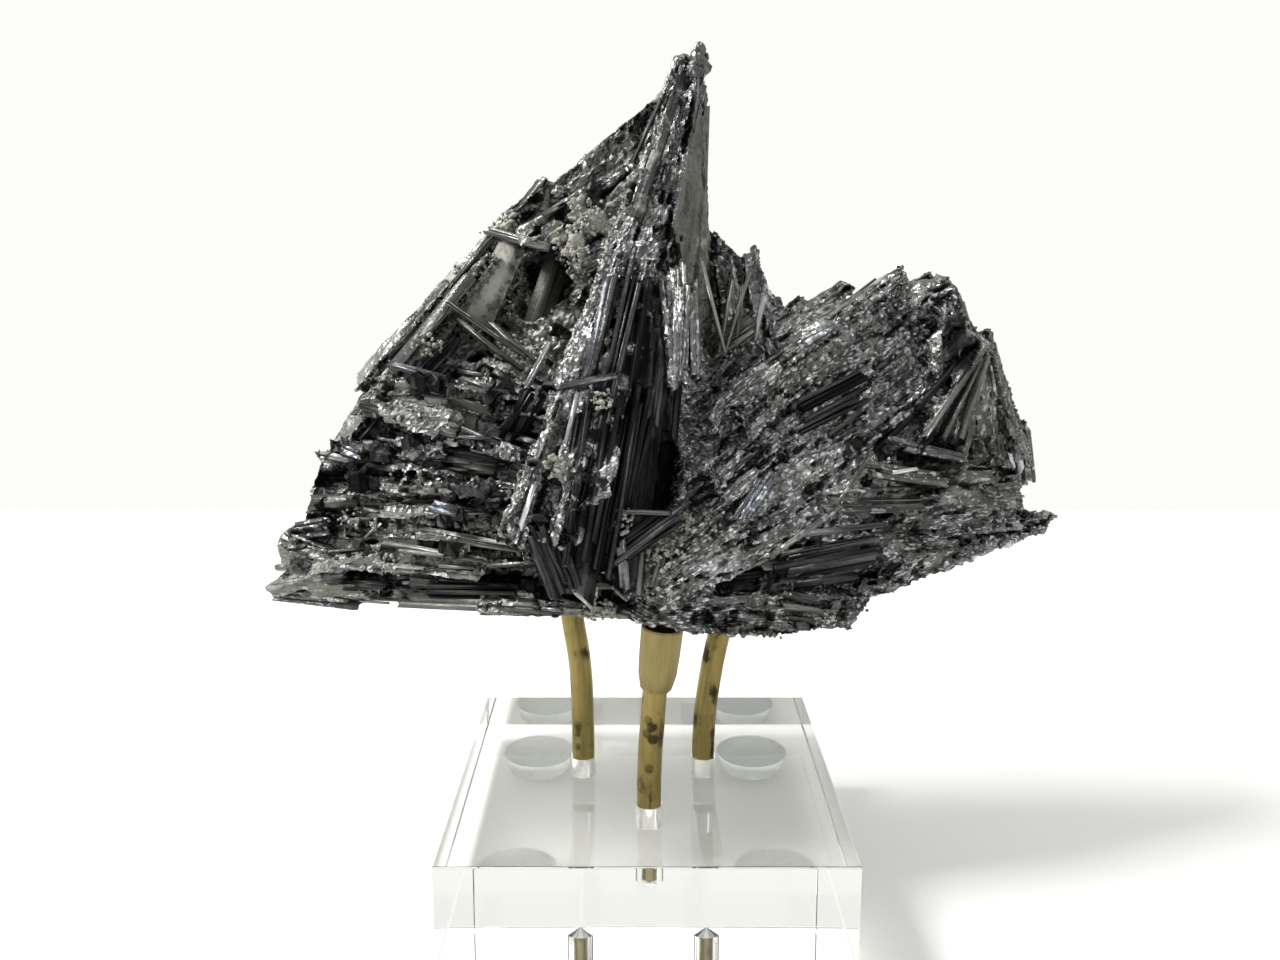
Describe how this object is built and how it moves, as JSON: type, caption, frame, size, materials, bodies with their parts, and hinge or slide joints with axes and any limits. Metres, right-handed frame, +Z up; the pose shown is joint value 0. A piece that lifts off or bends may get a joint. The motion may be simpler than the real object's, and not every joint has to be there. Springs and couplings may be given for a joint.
{
  "type": "stibnite crystal cluster",
  "caption": "Peaked cluster of long flat-faced stibnite crystals, standing on bent brass rods in a clear acrylic block with round feet.",
  "frame": {"origin": "on the table under the middle of the whole box, which is 3.8 mm to the right of the block's middle", "axes": "+Z up, -Y towards the front as pictured, +X to the right"},
  "size_m": [0.1594, 0.0762, 0.1693],
  "materials": {
    "stibnite": "steel-grey to black metallic crystal faces, finely striated, with pale crusts in the gaps",
    "clear_acrylic": "clear, polished",
    "clear_rubber": "clear, slightly frosted",
    "aged_brass": "aged olive-brown, with dark tarnish spots",
    "sleeve_brass": "satin, lighter than the rods"
  },
  "bodies": {
    "root": {"acrylic_block": "clear_acrylic", "foot_front_left": "clear_rubber", "foot_front_right": "clear_rubber", "foot_rear_left": "clear_rubber", "foot_rear_right": "clear_rubber", "rod_front": "aged_brass", "rod_rear_left": "aged_brass", "rod_rear_right": "aged_brass", "rod_sleeve": "sleeve_brass", "stibnite_cluster": "stibnite"}
  },
  "joints": []
}
